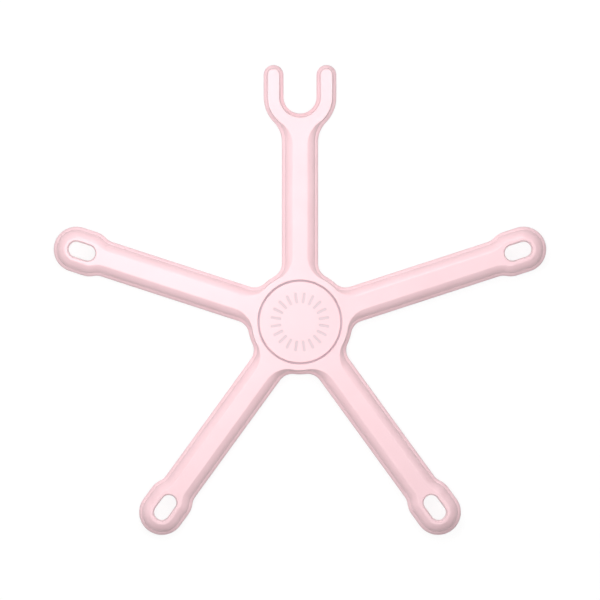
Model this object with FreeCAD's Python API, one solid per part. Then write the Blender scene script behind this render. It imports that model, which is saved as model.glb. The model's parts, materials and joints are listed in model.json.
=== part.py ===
import FreeCAD, Part
import math
import os

# Flexible phone mount: a five-armed star of soft silicone moulded over one bendable aluminium plate.
# One arm ends in a fork that slips round the neck of a phone grip, and four end in hanging eyelets.
# The star lies flat: +Z is up, +Y runs along the fork arm, and the origin is on the hub's axis in the
# plane that the star rests on. All sizes are in millimetres.

# Star
ARM_NAMES = ["fork_arm", "left_arm", "lower_left_arm", "lower_right_arm", "right_arm"]
FIRST_ARM_ANGLE = 90.0
THICKNESS = 10.0
ARM_WIDTH = 14.5
HUB_DIAMETER = 41.9
HUB_FILLET = 6.0

# Side of the moulding: a rounded bead along the outline at mid height, and a bowed slope from it to each
# flat crest. Both are arcs between two angles, stretched to the room that they have.
BEAD_WIDTH = 1.2
BEAD_HEIGHT = 3.2
BEAD_WALL = 0.6
BEAD_START = 25.0
BEAD_END = 55.0
BEAD_STEPS = 2
ARM_SLOPE = 4.35
RIM_SLOPE = 1.75
SLOPE_START = 10.0
SLOPE_END = 56.0
SLOPE_STEPS = 3

# Eyelet ends
EYELET_REACH = 103.1
EYELET_WIDTH = 18.2
EYELET_STRAIGHT = 5.5
NECK_FILLET = 6.0
SLOT_WIDTH = 6.0
SLOT_LENGTH = 10.8
SLOT_END_WALL = 6.0
SLOT_DRAFT = 0.55

# Fork end
FORK_REACH = 102.8
FORK_WIDTH = 29.1
FORK_GAP = 13.2
FORK_DEPTH = 19.4
FORK_FILLET = 11.2

# Hub disc, glued into a round recess with an open groove around it
DISC_DIAMETER = 32.3
DISC_THICKNESS = 1.3
DISC_SINK = 0.3
DISC_GROOVE = 0.8
DISC_EDGE = 0.3

# Soft aluminium plate that holds the bend
CORE_WIDTH = 8.0
CORE_THICKNESS = 2.0
CORE_HUB_DIAMETER = 28.0
CORE_FILLET = 3.0
CORE_END_WALL = 5.0
CORE_GRIP = 9.0

# Each arm bends at these places, where a short sleeve of skin flexes between two stiff lengths
BENDS = 3
STUB_LENGTH = 1.5

MID = THICKNESS / 2
ARM_STEP = 360.0 / len(ARM_NAMES)
EYELET_OUTER = EYELET_REACH - EYELET_WIDTH / 2
EYELET_INNER = EYELET_OUTER - EYELET_STRAIGHT
SLOT_CENTRE = EYELET_REACH - SLOT_END_WALL - SLOT_LENGTH / 2
FORK_CENTRE = FORK_REACH - FORK_DEPTH + FORK_GAP / 2
TINE_WIDTH = (FORK_WIDTH - FORK_GAP) / 2
TINE_CENTRE = FORK_REACH - TINE_WIDTH / 2
RECESS_DIAMETER = DISC_DIAMETER + 2 * DISC_GROOVE
RECESS_FLOOR = THICKNESS - DISC_SINK - DISC_THICKNESS
CUT_MARGIN = 5.0
CUT_REACH = max(EYELET_REACH, FORK_REACH) + CUT_MARGIN


def turned(shape, arm):
    """A copy of a shape made on the +Y arm, turned to the numbered arm."""
    copy = shape.copy()
    copy.rotate(FreeCAD.Vector(0, 0, 0), FreeCAD.Vector(0, 0, 1), arm * ARM_STEP)
    return copy


def arc_middle(centre, start, end):
    """The middle of the short arc from start to end round a centre."""
    cx, cy = centre
    sx, sy = start[0] - cx, start[1] - cy
    ex, ey = end[0] - cx, end[1] - cy
    radius = math.hypot(sx, sy)
    length = math.hypot(sx + ex, sy + ey)
    return cx + (sx + ex) * radius / length, cy + (sy + ey) * radius / length


def fillet_to_circle(half_width, fillet, centre_y, radius, side):
    """The fillet between the line x = half_width and a circle on the arm's axis.

    The line meets the circle above its centre where side is 1, and below it where side is -1.
    Returns the fillet's centre, its end on the line and its end on the circle.
    """
    rise = math.sqrt((radius + fillet) ** 2 - (half_width + fillet) ** 2)
    centre = half_width + fillet, centre_y + side * rise
    share = radius / (radius + fillet)
    on_circle = centre[0] * share, centre_y + (centre[1] - centre_y) * share
    return centre, (half_width, centre[1]), on_circle


def hub_fillet(arm_inset, rim_inset):
    """The fillet between the hub's round and an arm's side, at one height of the moulding."""
    half_width = ARM_WIDTH / 2 - arm_inset
    return fillet_to_circle(half_width, HUB_FILLET + arm_inset, 0, HUB_DIAMETER / 2 - rim_inset, 1)


def neck_fillet(arm_inset):
    """The fillet between an arm's side and its eyelet, at one height of the moulding."""
    half_width = ARM_WIDTH / 2 - arm_inset
    radius = EYELET_WIDTH / 2 - arm_inset
    return fillet_to_circle(half_width, NECK_FILLET + arm_inset, EYELET_INNER, radius, -1)


def fork_fillet(arm_inset, rim_inset):
    """The fillet between the fork arm's side and the fork's shoulder, at one height of the moulding."""
    half_width = ARM_WIDTH / 2 - arm_inset
    return fillet_to_circle(half_width, FORK_FILLET, FORK_CENTRE, FORK_WIDTH / 2 - rim_inset, -1)


def eyelet_half(arm_inset, rim_inset):
    """The right half of an eyelet arm's outline, from the hub to the tip, as (start, middle, end)."""
    radius = EYELET_WIDTH / 2 - arm_inset
    hub_centre, hub_line, hub_round = hub_fillet(arm_inset, rim_inset)
    neck_centre, neck_line, neck_round = neck_fillet(arm_inset)
    inner, outer = (radius, EYELET_INNER), (radius, EYELET_OUTER)
    tip = 0, EYELET_OUTER + radius
    return [
        (hub_round, arc_middle(hub_centre, hub_round, hub_line), hub_line),
        (hub_line, None, neck_line),
        (neck_line, arc_middle(neck_centre, neck_line, neck_round), neck_round),
        (neck_round, arc_middle((0, EYELET_INNER), neck_round, inner), inner),
        (inner, None, outer),
        (outer, arc_middle((0, EYELET_OUTER), outer, tip), tip),
    ]


def fork_half(arm_inset, rim_inset):
    """The right half of the fork arm's outline, from the hub to the bottom of the gap."""
    shoulder = FORK_WIDTH / 2 - rim_inset
    seat = FORK_GAP / 2 + rim_inset
    tine = (shoulder + seat) / 2
    hub_centre, hub_line, hub_round = hub_fillet(arm_inset, rim_inset)
    fork_centre, fork_line, fork_round = fork_fillet(arm_inset, rim_inset)
    outer_low, outer_high = (shoulder, FORK_CENTRE), (shoulder, TINE_CENTRE)
    inner_low, inner_high = (seat, FORK_CENTRE), (seat, TINE_CENTRE)
    tine_tip = tine, TINE_CENTRE + shoulder - tine
    bottom = 0, FORK_CENTRE - seat
    return [
        (hub_round, arc_middle(hub_centre, hub_round, hub_line), hub_line),
        (hub_line, None, fork_line),
        (fork_line, arc_middle(fork_centre, fork_line, fork_round), fork_round),
        (fork_round, arc_middle((0, FORK_CENTRE), fork_round, outer_low), outer_low),
        (outer_low, None, outer_high),
        (outer_high, tine_tip, inner_high),
        (inner_high, None, inner_low),
        (inner_low, arc_middle((0, FORK_CENTRE), inner_low, bottom), bottom),
    ]


def star_wire(height, arm_inset, rim_inset):
    """The closed outline of the whole star at one height, drawn anticlockwise from the fork arm."""

    def flipped(point):
        return None if point is None else (-point[0], point[1])

    def placed(point, arm):
        turn = math.radians(arm * ARM_STEP)
        x = point[0] * math.cos(turn) - point[1] * math.sin(turn)
        y = point[0] * math.sin(turn) + point[1] * math.cos(turn)
        return FreeCAD.Vector(x, y, height)

    def edge(start, middle, end):
        if middle is None:
            return Part.LineSegment(start, end).toShape()
        return Part.Arc(start, middle, end).toShape()

    edges = []
    hub_radius = HUB_DIAMETER / 2 - rim_inset
    for arm, name in enumerate(ARM_NAMES):
        half = fork_half if name == "fork_arm" else eyelet_half
        right = half(arm_inset, rim_inset)
        left = [(flipped(end), flipped(middle), flipped(start)) for start, middle, end in reversed(right)]
        for start, middle, end in right + left:
            middle = None if middle is None else placed(middle, arm)
            edges.append(edge(placed(start, arm), middle, placed(end, arm)))
        crotch = math.radians(FIRST_ARM_ANGLE + ARM_STEP / 2)
        middle = hub_radius * math.cos(crotch), hub_radius * math.sin(crotch)
        edges.append(edge(placed(left[-1][2], arm), placed(middle, arm), placed(right[0][0], arm + 1)))
    return Part.Wire(edges)


def stretched_arc(start, end, steps):
    """Points along an arc between two angles, each as its share of the way in and of the way up."""
    first, last = math.radians(start), math.radians(end)
    points = []
    for step in range(steps + 1):
        angle = first + (last - first) * step / steps
        inward = (math.cos(first) - math.cos(angle)) / (math.cos(first) - math.cos(last))
        upward = (math.sin(angle) - math.sin(first)) / (math.sin(last) - math.sin(first))
        points.append((inward, upward))
    return points


def side_levels():
    """The side's section from mid height up to the crest: height above mid, arm inset and rim inset."""
    levels = []
    for inward, upward in stretched_arc(BEAD_START, BEAD_END, BEAD_STEPS):
        above_mid = (BEAD_WALL + (BEAD_HEIGHT - BEAD_WALL) * upward) / 2
        levels.append((above_mid, BEAD_WIDTH * inward, BEAD_WIDTH * inward))
    for inward, upward in stretched_arc(SLOPE_START, SLOPE_END, SLOPE_STEPS)[1:]:
        above_mid = (BEAD_HEIGHT + (THICKNESS - BEAD_HEIGHT) * upward) / 2
        arm_inset = BEAD_WIDTH + (ARM_SLOPE - BEAD_WIDTH) * inward
        rim_inset = BEAD_WIDTH + (RIM_SLOPE - BEAD_WIDTH) * inward
        levels.append((above_mid, arm_inset, rim_inset))
    return levels


def star_body():
    """The whole moulding before any cut: one outline drawn in at each height, lofted from crest to crest."""
    levels = side_levels()
    lower = [star_wire(MID - above_mid, arm, rim) for above_mid, arm, rim in reversed(levels)]
    upper = [star_wire(MID + above_mid, arm, rim) for above_mid, arm, rim in levels]
    return Part.makeLoft(lower + upper, True, True)


def core_end(name):
    """How far the plate's strip reaches along an arm, short of the fork's gap or the eyelet's slot."""
    opening = FORK_REACH - FORK_DEPTH if name == "fork_arm" else SLOT_CENTRE - SLOT_LENGTH / 2
    return opening - CORE_END_WALL


def core_plate():
    """The stamped aluminium star: a round hub plate and one flat strip along each arm."""
    bottom = MID - CORE_THICKNESS / 2
    plate = Part.makeCylinder(CORE_HUB_DIAMETER / 2, CORE_THICKNESS, FreeCAD.Vector(0, 0, bottom))
    strips = []
    for arm, name in enumerate(ARM_NAMES):
        corner = FreeCAD.Vector(-CORE_WIDTH / 2, 0, bottom)
        strips.append(turned(Part.makeBox(CORE_WIDTH, core_end(name), CORE_THICKNESS, corner), arm))
    plate = plate.multiFuse(strips).removeSplitter()
    root_reach = math.hypot(CORE_HUB_DIAMETER / 2, CORE_WIDTH / 2)
    roots = [
        e
        for e in plate.Edges
        if abs(e.tangentAt(e.FirstParameter).z) > 0.5
        and math.hypot(e.CenterOfMass.x, e.CenterOfMass.y) < root_reach
    ]
    return plate.makeFillet(CORE_FILLET, roots).Solids[0]


def slot_wire(height, grown):
    """The pill-shaped outline of the +Y arm's hanging slot at one height, grown by its draft there."""
    radius = SLOT_WIDTH / 2 + grown
    inner = SLOT_CENTRE - (SLOT_LENGTH - SLOT_WIDTH) / 2
    outer = SLOT_CENTRE + (SLOT_LENGTH - SLOT_WIDTH) / 2
    right = FreeCAD.Vector(radius, inner, height), FreeCAD.Vector(radius, outer, height)
    left = FreeCAD.Vector(-radius, outer, height), FreeCAD.Vector(-radius, inner, height)
    outer_tip = FreeCAD.Vector(0, outer + radius, height)
    inner_tip = FreeCAD.Vector(0, inner - radius, height)
    return Part.Wire(
        [
            Part.LineSegment(*right).toShape(),
            Part.Arc(right[1], outer_tip, left[0]).toShape(),
            Part.LineSegment(*left).toShape(),
            Part.Arc(left[1], inner_tip, right[0]).toShape(),
        ]
    )


def slot_cutter():
    """The hanging slot of the +Y arm, narrowest at mid height and drafted out past both faces."""
    beyond = SLOT_DRAFT * (MID + CUT_MARGIN) / MID
    low, high = -CUT_MARGIN, THICKNESS + CUT_MARGIN
    return Part.makeLoft([slot_wire(low, beyond), slot_wire(MID, 0), slot_wire(high, beyond)], True, True)


def arm_length(start, end):
    """A block that takes in the +Y arm from one distance off the hub's axis to another."""
    width = max(FORK_WIDTH, EYELET_WIDTH) + 2 * CUT_MARGIN
    corner = FreeCAD.Vector(-width / 2, start, -CUT_MARGIN)
    return Part.makeBox(width, end - start, THICKNESS + 2 * CUT_MARGIN, corner)


def bend_stations(name):
    """The distances off the hub's axis where an arm's skin is parted: the ends of each bend's sleeve.

    The sleeves and the stiff lengths between them share the arm evenly, from the hub's stub to the end
    that grips the tip of the core.
    """
    first = hub_fillet(ARM_SLOPE, RIM_SLOPE)[1][1] + STUB_LENGTH
    last = core_end(name) - CORE_GRIP
    length = (last - first) / (2 * BENDS - 1)
    return [(first + 2 * bend * length, first + (2 * bend + 1) * length) for bend in range(BENDS)]


def arm_pieces(skin, arm):
    """One arm of the skin, turned to +Y and parted into sleeves, stiff lengths and its end."""
    name = ARM_NAMES[arm]
    stations = bend_stations(name)
    whole = turned(skin, -arm).common(arm_length(stations[0][0], CUT_REACH))
    pieces = {}
    for number, (start, end) in enumerate(stations, 1):
        pieces[f"bend_{number}"] = whole.common(arm_length(start, end)).Solids[0]
        last = number == BENDS
        until = CUT_REACH if last else stations[number][0]
        piece = "end" if last else f"link_{number}"
        pieces[piece] = whole.common(arm_length(end, until)).Solids[0]
    if name != "fork_arm":
        pieces["end"] = pieces["end"].cut(slot_cutter()).Solids[0]
    return pieces


def hub_skin(skin):
    """The hub of the skin, with its five short stubs and the recess for the disc."""
    beyond = []
    for arm, name in enumerate(ARM_NAMES):
        beyond.append(turned(arm_length(bend_stations(name)[0][0], CUT_REACH), arm))
    recess_floor = FreeCAD.Vector(0, 0, RECESS_FLOOR)
    return skin.cut(beyond).cut(Part.makeCylinder(RECESS_DIAMETER / 2, THICKNESS, recess_floor))


def hub_disc():
    """The plain disc that closes the recess, its upper edge bevelled."""
    disc = Part.makeCylinder(DISC_DIAMETER / 2, DISC_THICKNESS, FreeCAD.Vector(0, 0, RECESS_FLOOR))
    top = RECESS_FLOOR + DISC_THICKNESS
    rim = [e for e in disc.Edges if e.Closed and abs(e.CenterOfMass.z - top) < 0.001]
    return disc.makeChamfer(DISC_EDGE, rim)


def main():
    os.makedirs("parts", exist_ok=True)
    core = core_plate()
    skin = star_body().cut(core)
    nodes = {"hub_skin": hub_skin(skin), "hub_disc": hub_disc(), "core_plate": core}
    fork = arm_pieces(skin, 0)
    eyelet = arm_pieces(skin, 1)
    for arm, name in enumerate(ARM_NAMES):
        pieces = fork if name == "fork_arm" else eyelet
        for piece, shape in pieces.items():
            nodes[f"{name}_{piece}"] = turned(shape, arm)
    for name, shape in nodes.items():
        shape.exportStep(f"parts/{name}.step")
        print(f"{name:24} valid {shape.isValid()} solids {len(shape.Solids)} volume {shape.Volume:.1f}")


main()
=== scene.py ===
import json
import math

import bpy
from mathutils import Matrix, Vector
from mathutils.geometry import delaunay_2d_cdt


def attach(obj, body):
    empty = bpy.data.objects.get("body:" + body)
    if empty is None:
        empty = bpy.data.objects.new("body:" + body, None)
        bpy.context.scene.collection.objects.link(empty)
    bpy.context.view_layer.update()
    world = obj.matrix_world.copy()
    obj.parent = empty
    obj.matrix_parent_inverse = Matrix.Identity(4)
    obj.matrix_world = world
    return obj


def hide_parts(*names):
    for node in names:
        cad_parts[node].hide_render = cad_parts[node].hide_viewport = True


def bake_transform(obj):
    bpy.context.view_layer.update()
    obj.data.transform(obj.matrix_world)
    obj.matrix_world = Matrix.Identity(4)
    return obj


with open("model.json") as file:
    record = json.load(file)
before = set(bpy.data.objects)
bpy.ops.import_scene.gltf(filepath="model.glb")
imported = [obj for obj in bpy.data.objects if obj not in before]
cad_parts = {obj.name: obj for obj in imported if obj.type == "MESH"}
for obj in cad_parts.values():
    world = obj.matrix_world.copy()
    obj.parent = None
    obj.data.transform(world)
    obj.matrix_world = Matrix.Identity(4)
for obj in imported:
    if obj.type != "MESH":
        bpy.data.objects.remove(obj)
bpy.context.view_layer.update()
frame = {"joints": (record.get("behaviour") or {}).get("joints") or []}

MM = 0.001

# Star, in millimetres: its arms from +Y round to the left, and a hub piece that ends just past its fillets
ARMS = ["fork_arm", "left_arm", "lower_left_arm", "lower_right_arm", "right_arm"]
ARM_STEP = math.radians(360 / len(ARMS))
THICKNESS = 10.0
MID = THICKNESS / 2
ARM_WIDTH = 14.5
HUB_DIAMETER = 41.9
HUB_FILLET = 6.0
STUB_END = 26.6

# Side of the moulding: a bead at mid height and a bowed slope to each crest, both arcs between two angles
BEAD_WIDTH = 1.2
BEAD_HEIGHT = 3.2
BEAD_WALL = 0.6
BEAD_START = 25.0
BEAD_END = 70.0
ARM_SLOPE = 4.35
RIM_SLOPE = 1.75
SLOPE_START = 10.0
SLOPE_END = 56.0
CREST_ROUND = 0.22

# Eyelet ends
EYELET_REACH = 103.1
EYELET_WIDTH = 18.2
EYELET_STRAIGHT = 5.5
NECK_FILLET = 6.0
SLOT_WIDTH = 6.0
SLOT_LENGTH = 10.8
SLOT_END_WALL = 6.0
SLOT_DRAFT = 0.55
SLOT_EDGE = 0.15
EYELET_OUTER = EYELET_REACH - EYELET_WIDTH / 2
EYELET_INNER = EYELET_OUTER - EYELET_STRAIGHT
SLOT_CENTRE = EYELET_REACH - SLOT_END_WALL - SLOT_LENGTH / 2

# Fork end
FORK_REACH = 102.8
FORK_WIDTH = 29.1
FORK_GAP = 13.2
FORK_DEPTH = 19.4
FORK_FILLET = 11.2
FORK_CENTRE = FORK_REACH - FORK_DEPTH + FORK_GAP / 2
TINE_CENTRE = FORK_REACH - (FORK_WIDTH - FORK_GAP) / 4

# Hub disc in its recess, with a ring of plain marks pressed into it
DISC_DIAMETER = 32.3
DISC_TOP = 9.7
DISC_BOTTOM = 8.4
DISC_EDGE = 0.15
RECESS_DIAMETER = 33.9
RECESS_EDGE = 0.15
MARK_COUNT = 20
MARK_INNER = 7.5
MARK_OUTER = 11.9
MARK_WIDTH = 1.1
MARK_DEPTH = 0.12
MARK_EDGE = 0.06

# Core plate
CORE_WIDTH = 8.0
CORE_THICKNESS = 2.0
CORE_HUB_DIAMETER = 28.0
CORE_FILLET = 3.0
CORE_END_WALL = 5.0

# How far a bend eases into the stiff lengths beside its sleeve
BEND_EASE = 0.8

# Fineness of the mesh: steps along each kind of line and arc, and millimetres between rows on a bending arm
BEAD_STEPS = 6
SLOPE_STEPS = 10
CREST_STEPS = 4
EDGE_STEPS = 5
LINE_STEPS = 8
ARC_STEPS = 14
ROUND_STEPS = 26
CIRCLE_STEPS = 120
MARK_STEPS = 6
ACROSS_STEPS = 6
STATION_STEP = 0.55
FLAT_MARGIN = 0.15
SHARP_ANGLE = math.radians(40)
SAME_POINT = 0.00001

# Darker and lighter tone of each material, and the part of a noise's range over which they change
SKIN_TONES = (0.93, 0.64, 0.68), (0.95, 0.665, 0.705)
DISC_TONES = (0.93, 0.64, 0.68), (0.95, 0.66, 0.70)
MARK_TONES = (0.69, 0.535, 0.575), (0.71, 0.555, 0.595)
# The recess floor round the disc is greyer and darker: painted shade for the deep groove
GROOVE_PAINTED_SHADE_TONES = (0.65, 0.55, 0.60), (0.69, 0.58, 0.63)
METAL_TONES = (0.74, 0.75, 0.76), (0.82, 0.83, 0.84)
TONE_SPREAD = 0.3, 0.7

# Smoothest and roughest finish of each material
SKIN_ROUGHNESS = 0.26, 0.32
MARK_ROUGHNESS = 0.45, 0.5
GROOVE_ROUGHNESS = 0.5, 0.6
METAL_ROUGHNESS = 0.3, 0.45

# Silicone: the scale of its clouds, and the scale, depth in metres and strength of its grain
SILICONE_IOR = 1.5
CLOUD_SCALE = 90
GRAIN_SCALE = 2600
GRAIN_DEPTH = 0.00004
GRAIN_STRENGTH = 0.25

# Rolling marks of the aluminium: their stretch and scale, and their depth in metres and strength
ROLLING_STRETCH = 40, 1, 40
ROLLING_SCALE = 60
ROLLING_DEPTH = 0.00005
ROLLING_STRENGTH = 0.2

# Camera: the width, middle and depth of its view in metres, and its lens and sensor in millimetres
VIEW_WIDTH = 0.240
VIEW_CENTRE_Y = 0.0088
LENS = 600.0
SENSOR = 36.0
SIGHT = 20.0

# Soft round lights aimed at the hub: direction and height in degrees, distance and size in metres, watts
LIGHTS = {
    "near_top": (90, 58, 0.3, 0.15, 0.228),
    "near_left": (165, 75, 0.3, 0.15, 0.25),
    "right": (0, 60, 0.9, 0.5, 1.8),
    "front": (270, 60, 0.9, 0.5, 1.9),
    "upper_right": (45, 40, 0.9, 0.5, 0.75),
    "top": (90, 40, 0.9, 0.5, 1.05),
    "upper_left": (135, 22, 0.9, 0.5, 1.0),
    "left": (180, 22, 0.9, 0.5, 1.6),
}

# Height in degrees up to which a light leaves no glare, and the strength of the light from the room
LOW_LIGHT = 30
ROOM_LIGHT = 0.01

# Floor: its size and its place just under the star in metres, how much light it throws back, and its look
FLOOR_SIZE = 8.0
FLOOR_HEIGHT = -0.0002
FLOOR_BOUNCE = 0.5
FLOOR_ROUGHNESS = 0.9
FLOOR_SPECULAR = 0.1
FLOOR_GLOW = 0.88
FLOOR_SHADE = 0.16


def arc(centre, start, end, steps=ARC_STEPS):
    """Points along the short arc from start to end, without the last."""
    cx, cy = centre
    radius = math.hypot(start[0] - cx, start[1] - cy)
    first = math.atan2(start[1] - cy, start[0] - cx)
    last = math.atan2(end[1] - cy, end[0] - cx)
    turn = (last - first + math.pi) % (2 * math.pi) - math.pi
    angles = [first + turn * step / steps for step in range(steps)]
    return [(cx + radius * math.cos(angle), cy + radius * math.sin(angle)) for angle in angles]


def line(start, end, steps=LINE_STEPS):
    """Points along a straight line from start to end, without the last."""
    dx, dy = end[0] - start[0], end[1] - start[1]
    return [(start[0] + dx * step / steps, start[1] + dy * step / steps) for step in range(steps)]


def circle(radius):
    """Points round a circle on the hub's axis."""
    angles = [2 * math.pi * step / CIRCLE_STEPS for step in range(CIRCLE_STEPS)]
    return [(radius * math.cos(angle), radius * math.sin(angle)) for angle in angles]


def flipped(point):
    """A point on the other side of the +Y axis."""
    return -point[0], point[1]


def turned(point, angle):
    """A point turned about the hub's axis."""
    c, s = math.cos(angle), math.sin(angle)
    return point[0] * c - point[1] * s, point[0] * s + point[1] * c


def at_height(loop, z):
    """A flat outline lifted to a height."""
    return [(x, y, z) for x, y in loop]


def stations(start, end):
    """How many steps a length of arm is divided into, close enough to bend smoothly."""
    return max(2, math.ceil((end - start) / STATION_STEP))


def fillet_to_circle(half_width, fillet, centre_y, radius, side):
    """The fillet between the line x = half_width and a circle on the arm's axis.

    The line meets the circle above its centre where side is 1, and below it where side is -1.
    Returns the fillet's centre, its end on the line and its end on the circle.
    """
    rise = math.sqrt((radius + fillet) ** 2 - (half_width + fillet) ** 2)
    centre = half_width + fillet, centre_y + side * rise
    share = radius / (radius + fillet)
    on_circle = centre[0] * share, centre_y + (centre[1] - centre_y) * share
    return centre, (half_width, centre[1]), on_circle


def stretched_arc(start, end, steps):
    """Points along an arc between two angles, each as its share of the way in and of the way up."""
    first, last = math.radians(start), math.radians(end)
    points = []
    for step in range(steps + 1):
        angle = first + (last - first) * step / steps
        inward = (math.cos(first) - math.cos(angle)) / (math.cos(first) - math.cos(last))
        upward = (math.sin(angle) - math.sin(first)) / (math.sin(last) - math.sin(first))
        points.append((inward, upward))
    return points


def rounded_edge(radius):
    """A rounded edge from a face over to the wall below it: the way back from the wall, the way down."""
    angles = [math.pi / 2 * step / EDGE_STEPS for step in range(EDGE_STEPS + 1)]
    return [(radius * (1 - math.sin(angle)), radius * (1 - math.cos(angle))) for angle in angles]


def softened(before, corner, after):
    """A smooth curve that cuts a corner of the section, from the point before it to the one after it."""
    points = []
    for step in range(CREST_STEPS + 1):
        t = step / CREST_STEPS
        sides = zip(before, corner, after)
        points.append(tuple((1 - t) ** 2 * a + 2 * t * (1 - t) * b + t**2 * c for a, b, c in sides))
    return points


def side_levels():
    """The rings of the moulding's side from the lower crest to the upper.

    Each is an inset of the arms, one of the rims of hub and fork, one from the seams, and a height.
    """
    half = []
    for inward, upward in stretched_arc(BEAD_START, BEAD_END, BEAD_STEPS):
        height = (BEAD_WALL + (BEAD_HEIGHT - BEAD_WALL) * upward) / 2
        half.append((BEAD_WIDTH * inward, BEAD_WIDTH * inward, height))
    for inward, upward in stretched_arc(SLOPE_START, SLOPE_END, SLOPE_STEPS)[1:]:
        arm_inset = BEAD_WIDTH + (ARM_SLOPE - BEAD_WIDTH) * inward
        rim_inset = BEAD_WIDTH + (RIM_SLOPE - BEAD_WIDTH) * inward
        half.append((arm_inset, rim_inset, (BEAD_HEIGHT + (THICKNESS - BEAD_HEIGHT) * upward) / 2))
    corner = half.pop()
    share = min(CREST_ROUND / (corner[0] - half[-1][0]), 1)
    before = tuple(c + (b - c) * share for b, c in zip(half[-1], corner))
    after = corner[0] + CREST_ROUND, corner[1] + CREST_ROUND, corner[2]
    half += softened(before, corner, after)
    half = [(arm, rim, 0, height) for arm, rim, height in half]
    half.append((after[0] + FLAT_MARGIN, after[1] + FLAT_MARGIN, FLAT_MARGIN, after[2]))
    lower = [(arm, rim, seam, MID - height) for arm, rim, seam, height in reversed(half)]
    upper = [(arm, rim, seam, MID + height) for arm, rim, seam, height in half]
    return lower + upper


def star_loop(radius, half_width, fillet, end):
    """The outline of a round hub with a straight stub for each arm, anticlockwise."""
    centre, on_line, on_round = fillet_to_circle(half_width, fillet, 0, radius, 1)
    right, left = (half_width, end), (-half_width, end)
    one = arc(centre, on_round, on_line)
    one += line(on_line, right)
    one += line(right, left, ACROSS_STEPS)
    one += line(left, flipped(on_line))
    one += arc(flipped(centre), flipped(on_line), flipped(on_round))
    one += arc((0, 0), flipped(on_round), turned(on_round, ARM_STEP))
    return [turned(point, arm * ARM_STEP) for arm in range(len(ARMS)) for point in one]


def hub_loop(arm_inset, rim_inset, seam_inset):
    """The outline of the moulding's hub."""
    radius, half_width = HUB_DIAMETER / 2 - rim_inset, ARM_WIDTH / 2 - arm_inset
    return star_loop(radius, half_width, HUB_FILLET + arm_inset, STUB_END - seam_inset)


def length_loop(half_width, start, end, seam_inset=0.0):
    """The outline of a straight length of arm, anticlockwise from its right-hand near corner."""
    steps = stations(start, end)
    near_right, far_right = (half_width, start + seam_inset), (half_width, end - seam_inset)
    near_left, far_left = flipped(near_right), flipped(far_right)
    points = line(near_right, far_right, steps)
    points += line(far_right, far_left, ACROSS_STEPS)
    points += line(far_left, near_left, steps)
    points += line(near_left, near_right, ACROSS_STEPS)
    return points


def end_loop(right_side):
    """A whole end's outline from its right side, which runs from the seam to a point on the axis."""
    left_side = [flipped(point) for point in reversed(right_side[:-1])]
    return right_side + left_side + line(left_side[-1], right_side[0], ACROSS_STEPS)[1:]


def eyelet_loop(arm_inset, seam_inset, start, bend_end):
    """The outline of an eyelet end from its seam to its tip and back."""
    half_width = ARM_WIDTH / 2 - arm_inset
    radius = EYELET_WIDTH / 2 - arm_inset
    fillet = NECK_FILLET + arm_inset
    centre, on_line, on_round = fillet_to_circle(half_width, fillet, EYELET_INNER, radius, -1)
    inner, outer = (radius, EYELET_INNER), (radius, EYELET_OUTER)
    tip = 0, EYELET_OUTER + radius
    side = line((half_width, start + seam_inset), (half_width, bend_end), stations(start, bend_end))
    side += line((half_width, bend_end), on_line)
    side += arc(centre, on_line, on_round)
    side += arc((0, EYELET_INNER), on_round, inner)
    side += line(inner, outer)
    side += arc((0, EYELET_OUTER), outer, tip, ROUND_STEPS)
    return end_loop(side + [tip])


def fork_loop(arm_inset, rim_inset, seam_inset, start, bend_end):
    """The outline of the fork end from its seam round both tines and back."""
    half_width = ARM_WIDTH / 2 - arm_inset
    shoulder, seat = FORK_WIDTH / 2 - rim_inset, FORK_GAP / 2 + rim_inset
    tine = (shoulder + seat) / 2
    centre, on_line, on_round = fillet_to_circle(half_width, FORK_FILLET, FORK_CENTRE, shoulder, -1)
    outer_low, outer_high = (shoulder, FORK_CENTRE), (shoulder, TINE_CENTRE)
    inner_low, inner_high = (seat, FORK_CENTRE), (seat, TINE_CENTRE)
    tine_tip = tine, TINE_CENTRE + shoulder - tine
    bottom = 0, FORK_CENTRE - seat
    side = line((half_width, start + seam_inset), (half_width, bend_end), stations(start, bend_end))
    side += line((half_width, bend_end), on_line)
    side += arc(centre, on_line, on_round)
    side += arc((0, FORK_CENTRE), on_round, outer_low)
    side += line(outer_low, outer_high)
    side += arc((tine, TINE_CENTRE), outer_high, tine_tip)
    side += arc((tine, TINE_CENTRE), tine_tip, inner_high)
    side += line(inner_high, inner_low)
    side += arc((0, FORK_CENTRE), inner_low, bottom, ROUND_STEPS)
    return end_loop(side + [bottom])


def pill_loop(radius, inner, outer, steps):
    """A pill's outline along +Y, anticlockwise, between the centres of its round inner and outer ends."""
    points = line((radius, inner), (radius, outer), steps=1)
    points += arc((0, outer), (radius, outer), (0, outer + radius), steps)
    points += arc((0, outer), (0, outer + radius), (-radius, outer), steps)
    points += line((-radius, outer), (-radius, inner), steps=1)
    points += arc((0, inner), (-radius, inner), (0, inner - radius), steps)
    points += arc((0, inner), (0, inner - radius), (radius, inner), steps)
    return points


def slot_rings():
    """The slot's drafted wall from its upper rim to its lower one, narrowest at mid height."""
    half_run = (SLOT_LENGTH - SLOT_WIDTH) / 2
    rim = [(SLOT_DRAFT + SLOT_EDGE + FLAT_MARGIN, 0)]
    rim += [(SLOT_DRAFT + back, drop) for back, drop in rounded_edge(SLOT_EDGE)]
    levels = [(grown, THICKNESS - drop) for grown, drop in rim] + [(0, MID)] + rim[::-1]
    rings = []
    for grown, z in levels:
        loop = pill_loop(SLOT_WIDTH / 2 + grown, SLOT_CENTRE - half_run, SLOT_CENTRE + half_run, ARC_STEPS)
        rings.append(at_height(loop, z))
    return rings


def recess_rings():
    """The hub recess from its rounded rim down to its floor."""
    radius = RECESS_DIAMETER / 2
    levels = [(radius + RECESS_EDGE + FLAT_MARGIN, THICKNESS)]
    levels += [(radius + back, THICKNESS - drop) for back, drop in rounded_edge(RECESS_EDGE)]
    levels.append((radius, DISC_BOTTOM))
    return [at_height(circle(r), z) for r, z in levels]


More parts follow.
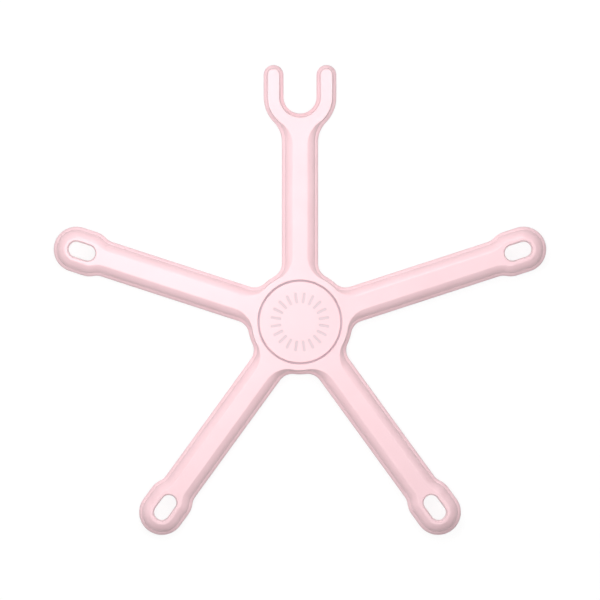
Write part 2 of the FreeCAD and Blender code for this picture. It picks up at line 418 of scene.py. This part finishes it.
def disc_rings():
    """The disc from its foot up over its rounded edge."""
    radius = DISC_DIAMETER / 2
    levels = [(radius, DISC_BOTTOM)]
    levels += [(radius - back, DISC_TOP - drop) for back, drop in reversed(rounded_edge(DISC_EDGE))]
    levels.append((radius - DISC_EDGE - FLAT_MARGIN, DISC_TOP))
    return [at_height(circle(r), z) for r, z in levels]


def mark_rings(turn):
    """One mark of the disc, from its upper rim down to its flat floor, turned about the hub's axis."""
    radius = MARK_WIDTH / 2
    rings = []
    for grown, z in [(MARK_EDGE, DISC_TOP), (0, DISC_TOP - MARK_DEPTH)]:
        loop = pill_loop(radius + grown, MARK_INNER + radius, MARK_OUTER - radius, MARK_STEPS)
        rings.append(at_height([turned(point, turn) for point in loop], z))
    return rings


def solid(name, rings, turn=0.0, through=(), blind=()):
    """A closed mesh from rings stacked upwards, with flat ends that may have holes.

    Each hole is a stack of rings from its upper rim down. One in through opens in both ends, and one in
    blind opens in the upper end and is closed by its last ring. The mesh is turned about the hub's axis.
    """
    vertices, faces = [], []

    def add(ring):
        """Adds a ring of points and returns their numbers."""
        first = len(vertices)
        vertices.extend(ring)
        return list(range(first, first + len(ring)))

    def wall(stack):
        """Closes the sides between each ring of a stack and the next."""
        for near, far in zip(stack, stack[1:]):
            for i in range(len(near)):
                j = (i + 1) % len(near)
                faces.append((near[i], near[j], far[j], far[i]))

    def flat(outline, holes, upward):
        """Closes a flat end with triangles, round its holes."""
        loops = [outline] + holes
        used = [index for loop in loops for index in loop]
        edges = []
        for loop in loops:
            edges += [(used.index(a), used.index(b)) for a, b in zip(loop, loop[1:] + loop[:1])]
        points = [Vector(vertices[index][:2]) for index in used]
        _, _, triangles, origins, _, _ = delaunay_2d_cdt(points, edges, [], 1, SAME_POINT)
        for triangle in triangles:
            face = [used[origins[corner][0]] for corner in triangle]
            if any(set(face) <= set(hole) for hole in holes):
                continue
            a, b, c = (Vector(vertices[index][:2]) for index in face)
            anticlockwise = (b - a).cross(c - a) > 0
            faces.append(tuple(face if anticlockwise == upward else reversed(face)))

    outer = [add(ring) for ring in rings]
    through = [[add(ring) for ring in stack] for stack in through]
    blind = [[add(ring) for ring in stack] for stack in blind]
    for stack in [outer] + through + blind:
        wall(stack)
    flat(outer[-1], [stack[0] for stack in through + blind], True)
    flat(outer[0], [stack[-1] for stack in through], False)
    faces.extend(tuple(stack[-1]) for stack in blind)

    placed = [(*turned(point, turn), point[2]) for point in vertices]
    mesh = bpy.data.meshes.new(name)
    mesh.from_pydata([tuple(MM * value for value in point) for point in placed], [], faces)
    mesh.validate()
    mesh.shade_smooth()
    mesh.set_sharp_from_angle(angle=SHARP_ANGLE)
    piece = bpy.data.objects.new(name, mesh)
    bpy.context.collection.objects.link(piece)
    return piece


def dressed(piece, material):
    """A piece in its material, entered in its material slot."""
    piece.data.materials.append(material)
    return piece


def node_setup(name):
    """A new material, with its nodes, its links and its shader."""
    material = bpy.data.materials.new(name)
    material.use_nodes = True
    tree = material.node_tree
    return material, tree.nodes, tree.links, tree.nodes["Principled BSDF"]


def noise(nodes, links, vector, scale, detail):
    """A soft random pattern, from 0 to 1."""
    texture = nodes.new("ShaderNodeTexNoise")
    texture.inputs["Scale"].default_value = scale
    texture.inputs["Detail"].default_value = detail
    links.new(vector, texture.inputs["Vector"])
    return texture.outputs["Fac"]


def colour_range(nodes, links, factor, tones, target):
    """Colours a surface between two tones, over the middle of a noise's range."""
    ramp = nodes.new("ShaderNodeValToRGB")
    for element, position, tone in zip(ramp.color_ramp.elements, TONE_SPREAD, tones):
        element.position = position
        element.color = (*tone, 1)
    links.new(factor, ramp.inputs["Fac"])
    links.new(ramp.outputs["Color"], target)


def value_range(nodes, links, factor, low, high, target):
    """Sets an input between two values, by a factor from 0 to 1."""
    spread = nodes.new("ShaderNodeMapRange")
    spread.inputs["To Min"].default_value = low
    spread.inputs["To Max"].default_value = high
    links.new(factor, spread.inputs["Value"])
    links.new(spread.outputs["Result"], target)


def bumped(nodes, links, height, depth, strength, target):
    """Roughens a surface by a pattern of heights."""
    bump = nodes.new("ShaderNodeBump")
    bump.inputs["Distance"].default_value = depth
    bump.inputs["Strength"].default_value = strength
    links.new(height, bump.inputs["Height"])
    links.new(bump.outputs["Normal"], target)


def silicone(name, tones, roughness):
    """Satin moulded silicone: faintly clouded pink with a fine matte grain."""
    material, nodes, links, shader = node_setup(name)
    place = nodes.new("ShaderNodeTexCoord").outputs["Object"]
    clouds = noise(nodes, links, place, CLOUD_SCALE, detail=3)
    grain = noise(nodes, links, place, GRAIN_SCALE, detail=2)
    colour_range(nodes, links, clouds, tones, shader.inputs["Base Color"])
    value_range(nodes, links, clouds, *roughness, shader.inputs["Roughness"])
    bumped(nodes, links, grain, GRAIN_DEPTH, GRAIN_STRENGTH, shader.inputs["Normal"])
    shader.inputs["IOR"].default_value = SILICONE_IOR
    return material


def stamped_aluminium():
    """Soft aluminium sheet with fine rolling marks along one direction."""
    material, nodes, links, shader = node_setup("stamped_aluminium")
    stretch = nodes.new("ShaderNodeMapping")
    stretch.inputs["Scale"].default_value = ROLLING_STRETCH
    links.new(nodes.new("ShaderNodeTexCoord").outputs["Object"], stretch.inputs["Vector"])
    marks = noise(nodes, links, stretch.outputs["Vector"], ROLLING_SCALE, detail=4)
    colour_range(nodes, links, marks, METAL_TONES, shader.inputs["Base Color"])
    value_range(nodes, links, marks, *METAL_ROUGHNESS, shader.inputs["Roughness"])
    bumped(nodes, links, marks, ROLLING_DEPTH, ROLLING_STRENGTH, shader.inputs["Normal"])
    shader.inputs["Metallic"].default_value = 1.0
    return material


def arm_layout(arm):
    """An arm's turn from +Y, its seams, and the start and end of each bend, off the hub's axis in mm."""
    name = ARMS[arm]
    turn = arm * ARM_STEP
    places = {joint["name"]: joint["pos_m"] for joint in frame["joints"]}
    hinges = [math.hypot(*places[f"{name}_{bend}_bend"][:2]) / MM for bend in ("root", "mid", "outer")]
    sleeve = (hinges[1] - hinges[0]) / 2
    reach = sleeve / 2 + BEND_EASE
    seams = [STUB_END, (hinges[0] + hinges[1]) / 2, (hinges[1] + hinges[2]) / 2]
    return turn, seams, [(hinge - reach, hinge + reach) for hinge in hinges]


def bend(piece, arm, number, zone):
    """Bakes a piece's placing into its mesh."""
    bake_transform(piece)


def build_hub(skin, groove_painted_shade):
    """The middle of the moulding, with five stubs and a recess, whose floor shows round the disc in a
    greyer, darker tone: painted shade for the deep groove.
    """
    rings = [at_height(hub_loop(*insets), z) for *insets, z in side_levels()]
    hub = dressed(solid("hub_moulding", rings, blind=[recess_rings()]), skin)
    hub.data.materials.append(groove_painted_shade)
    # The recess floor takes the greyer, darker tone: painted shade in the groove round the disc
    hub.data.polygons[-1].material_index = 1
    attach(hub, "hub")
    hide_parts("hub_skin")


def build_disc(skin, mark_skin):
    """The disc in the recess, with the floors of its marks in a tone of their own."""
    marks = [mark_rings(2 * math.pi * (count + 0.5) / MARK_COUNT) for count in range(MARK_COUNT)]
    disc = dressed(solid("hub_cap", disc_rings(), blind=marks), skin)
    disc.data.materials.append(mark_skin)
    for floor in disc.data.polygons[-MARK_COUNT:]:
        floor.material_index = 1
    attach(disc, "hub")
    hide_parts("hub_disc")


def build_arm(arm, skin):
    """An arm of the moulding in three pieces, each round one of its hinges, the last of them its fork or
    eyelet.
    """
    name = ARMS[arm]
    turn, seams, zones = arm_layout(arm)
    levels = side_levels()
    for number, (start, end) in enumerate(zip(seams, seams[1:])):
        rings = []
        for arm_inset, _, seam_inset, z in levels:
            loop = length_loop(ARM_WIDTH / 2 - arm_inset, start, end, seam_inset)
            rings.append(at_height(loop, z))
        piece = dressed(solid(f"{name}_length_{number + 1}", rings, turn), skin)
        bend(piece, arm, number, zones[number])
        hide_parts(f"{name}_bend_{number + 1}", f"{name}_link_{number + 1}")
    seam, bend_end = seams[-1], zones[-1][1]
    if name == "fork_arm":
        rings = [at_height(fork_loop(*insets, seam, bend_end), z) for *insets, z in levels]
        piece = solid(f"{name}_fork", rings, turn)
    else:
        rings = []
        for arm_inset, _, seam_inset, z in levels:
            rings.append(at_height(eyelet_loop(arm_inset, seam_inset, seam, bend_end), z))
        piece = solid(f"{name}_eyelet", rings, turn, through=[slot_rings()])
    dressed(piece, skin)
    bend(piece, arm, len(seams) - 1, zones[-1])
    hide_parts(f"{name}_bend_{len(seams)}", f"{name}_end")


def build_core(metal):
    """The plate inside: its hub rides the hub, and each strip is built in three lengths along its arm."""
    half_width = CORE_WIDTH / 2
    heights = MID - CORE_THICKNESS / 2, MID + CORE_THICKNESS / 2
    loop = star_loop(CORE_HUB_DIAMETER / 2, half_width, CORE_FILLET, STUB_END)
    hub = dressed(solid("core_hub", [at_height(loop, z) for z in heights]), metal)
    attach(hub, "hub")
    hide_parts("core_plate")
    for arm, name in enumerate(ARMS):
        turn, seams, zones = arm_layout(arm)
        opening = FORK_REACH - FORK_DEPTH if name == "fork_arm" else SLOT_CENTRE - SLOT_LENGTH / 2
        ends = seams[1:] + [opening - CORE_END_WALL]
        for number, (start, end) in enumerate(zip(seams, ends)):
            loop = length_loop(half_width, start, end)
            rings = [at_height(loop, z) for z in heights]
            strip = dressed(solid(f"{name}_core_{number + 1}", rings, turn), metal)
            bend(strip, arm, number, zones[number])
            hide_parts("core_plate")


def seen_directly(nodes, links):
    """1 for rays from the camera, from a reflection or through glass, and 0 for the light that falls."""
    path = nodes.new("ShaderNodeLightPath")
    total = path.outputs["Is Camera Ray"]
    for kind in ("Is Glossy Ray", "Is Transmission Ray"):
        either = nodes.new("ShaderNodeMath")
        either.operation = "MAXIMUM"
        links.new(total, either.inputs[0])
        links.new(path.outputs[kind], either.inputs[1])
        total = either.outputs[0]
    return total


def add_floor():
    """A plain white floor that looks like white paper and still takes a soft shadow."""
    bpy.ops.mesh.primitive_plane_add(size=FLOOR_SIZE, location=(0, 0, FLOOR_HEIGHT))
    floor = bpy.context.object
    floor.name = "floor"
    material, nodes, links, shader = node_setup("white_floor")
    shader.inputs["Base Color"].default_value = (FLOOR_BOUNCE, FLOOR_BOUNCE, FLOOR_BOUNCE, 1)
    shader.inputs["Roughness"].default_value = FLOOR_ROUGHNESS
    shader.inputs["Specular IOR Level"].default_value = FLOOR_SPECULAR
    shade = nodes.new("ShaderNodeBsdfDiffuse")
    shade.inputs["Color"].default_value = (FLOOR_SHADE, FLOOR_SHADE, FLOOR_SHADE, 1)
    glow = nodes.new("ShaderNodeEmission")
    glow.inputs["Strength"].default_value = FLOOR_GLOW
    paper = nodes.new("ShaderNodeAddShader")
    links.new(shade.outputs[0], paper.inputs[0])
    links.new(glow.outputs[0], paper.inputs[1])
    mix = nodes.new("ShaderNodeMixShader")
    links.new(seen_directly(nodes, links), mix.inputs[0])
    links.new(shader.outputs[0], mix.inputs[1])
    links.new(paper.outputs[0], mix.inputs[2])
    links.new(mix.outputs[0], nodes["Material Output"].inputs["Surface"])
    floor.data.materials.append(material)


def area_light(name, direction, height, distance, size, power):
    """A round soft light aimed at the hub. A low one leaves no glare on the flat faces."""
    lamp = bpy.data.lights.new(name, "AREA")
    lamp.shape = "DISK"
    lamp.size = size
    lamp.energy = power
    light = bpy.data.objects.new(name, lamp)
    across = distance * math.cos(math.radians(height))
    x = across * math.cos(math.radians(direction))
    y = across * math.sin(math.radians(direction))
    light.location = (x, y, distance * math.sin(math.radians(height)))
    light.rotation_euler = (-light.location).to_track_quat("-Z", "Y").to_euler()
    light.visible_camera = False
    light.visible_glossy = height > LOW_LIGHT
    bpy.context.collection.objects.link(light)


def add_light():
    """Soft lights round the star, the nearest over its upper left, in a room that looks white."""
    for name, setting in LIGHTS.items():
        area_light(name, *setting)
    world = bpy.data.worlds.new("studio")
    world.use_nodes = True
    nodes, links = world.node_tree.nodes, world.node_tree.links
    background = nodes["Background"]
    background.inputs["Color"].default_value = (1, 1, 1, 1)
    value_range(nodes, links, seen_directly(nodes, links), ROOM_LIGHT, 1, background.inputs["Strength"])
    bpy.context.scene.world = world


def add_camera():
    """Straight down on the star, with the fork pointing up the picture."""
    lens = bpy.data.cameras.new("camera")
    lens.lens = LENS
    lens.sensor_width = SENSOR
    lens.clip_end = SIGHT
    camera = bpy.data.objects.new("camera", lens)
    camera.location = (0, VIEW_CENTRE_Y, MM * MID + VIEW_WIDTH * LENS / SENSOR)
    bpy.context.collection.objects.link(camera)
    bpy.context.scene.camera = camera


def main():
    """The whole star on its floor, lit and seen from above."""
    skin = silicone("pink_silicone", SKIN_TONES, SKIN_ROUGHNESS)
    disc_skin = silicone("pink_disc", DISC_TONES, SKIN_ROUGHNESS)
    mark_skin = silicone("grey_pink_mark", MARK_TONES, MARK_ROUGHNESS)
    # The groove's material is painted shade: a greyer, darker tone for the deep groove round the disc
    groove_painted_shade = silicone("painted_shade_groove", GROOVE_PAINTED_SHADE_TONES, GROOVE_ROUGHNESS)
    build_hub(skin, groove_painted_shade)
    build_disc(disc_skin, mark_skin)
    for arm in range(len(ARMS)):
        build_arm(arm, skin)
    build_core(stamped_aluminium())
    add_floor()
    add_light()
    add_camera()
    bpy.context.scene.view_settings.view_transform = "Standard"


main()
